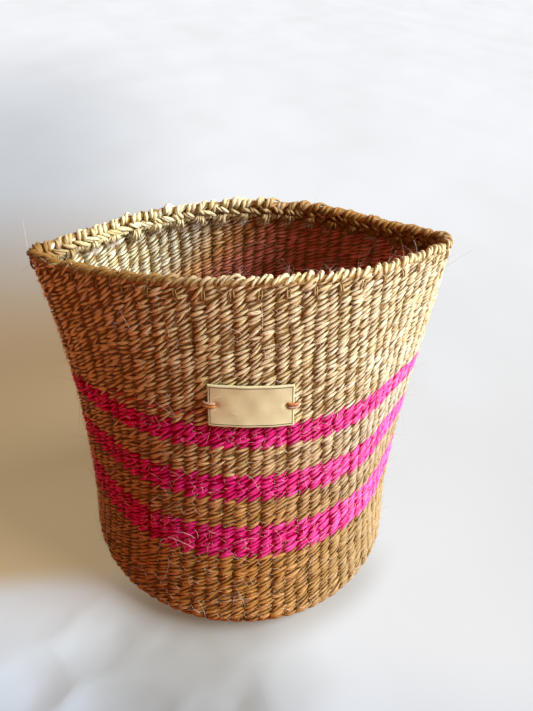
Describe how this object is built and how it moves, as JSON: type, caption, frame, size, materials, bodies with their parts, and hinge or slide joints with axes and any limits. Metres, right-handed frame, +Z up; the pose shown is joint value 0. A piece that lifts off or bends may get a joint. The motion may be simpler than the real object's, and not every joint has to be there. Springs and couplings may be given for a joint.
{
  "type": "woven storage basket",
  "caption": "Soft twined sisal tub with a pinched oval mouth, a looped rim, three pink stripes and a blank leather label held by two stitches.",
  "frame": {"origin": "middle of the flat underside, on the floor that the basket stands on", "axes": "+Z up, +X along the mouth from its left pinched corner to its right one as the label is seen, +Y from the label's side to the back"},
  "size_m": [0.2605, 0.218, 0.2355],
  "materials": {
    "natural_sisal": "satin twisted fibre",
    "pale_sisal": "satin twisted fibre",
    "pink_sisal": "satin dyed fibre",
    "label_leather": "smooth matte",
    "stitch_thread": "soft thread"
  },
  "bodies": {
    "root": {"base_start_knot": "natural_sisal", "base_inner_rounds": "natural_sisal", "base_outer_rounds": "natural_sisal", "heel_turn": "natural_sisal", "wall_natural_lower": "natural_sisal", "wall_natural_lower_gap": "natural_sisal", "wall_natural_upper_gap": "natural_sisal", "wall_natural_upper": "natural_sisal", "stripe_pink_lower": "pink_sisal", "stripe_pink_middle": "pink_sisal", "stripe_pink_upper": "pink_sisal", "pink_short_row": "pink_sisal", "rim_border_loops": "pale_sisal", "rim_inner_braid": "pale_sisal", "tucked_warp_ends_01": "pale_sisal", "tucked_warp_ends_02": "pale_sisal", "tucked_warp_ends_03": "pale_sisal", "tucked_warp_ends_04": "pale_sisal", "tucked_warp_ends_05": "pale_sisal", "tucked_warp_ends_06": "pale_sisal", "tucked_warp_ends_07": "pale_sisal", "tucked_warp_ends_08": "pale_sisal", "tucked_warp_ends_09": "pale_sisal", "tucked_warp_ends_10": "pale_sisal", "tucked_warp_ends_11": "pale_sisal", "tucked_warp_ends_12": "pale_sisal", "tucked_warp_ends_13": "pale_sisal", "tucked_warp_ends_14": "pale_sisal", "tucked_warp_ends_15": "pale_sisal", "tucked_warp_ends_16": "pale_sisal", "tucked_warp_ends_17": "pale_sisal", "tucked_warp_ends_18": "pale_sisal", "tucked_warp_ends_19": "pale_sisal", "tucked_warp_ends_20": "pale_sisal", "tucked_warp_ends_21": "pale_sisal", "tucked_warp_ends_22": "pale_sisal", "tucked_warp_ends_23": "pale_sisal", "tucked_warp_ends_24": "pale_sisal", "tucked_warp_ends_25": "pale_sisal", "tucked_warp_ends_26": "pale_sisal", "tucked_warp_ends_27": "pale_sisal", "tucked_warp_ends_28": "pale_sisal", "tucked_warp_ends_29": "pale_sisal", "tucked_warp_ends_30": "pale_sisal", "tucked_warp_ends_31": "pale_sisal", "tucked_warp_ends_32": "pale_sisal", "tucked_warp_ends_33": "pale_sisal", "tucked_warp_ends_34": "pale_sisal", "tucked_warp_ends_35": "pale_sisal", "tucked_warp_ends_36": "pale_sisal", "tucked_warp_ends_37": "pale_sisal", "tucked_warp_ends_38": "pale_sisal", "leather_label": "label_leather", "label_stitch_left": "stitch_thread", "label_stitch_right": "stitch_thread"}
  },
  "joints": []
}
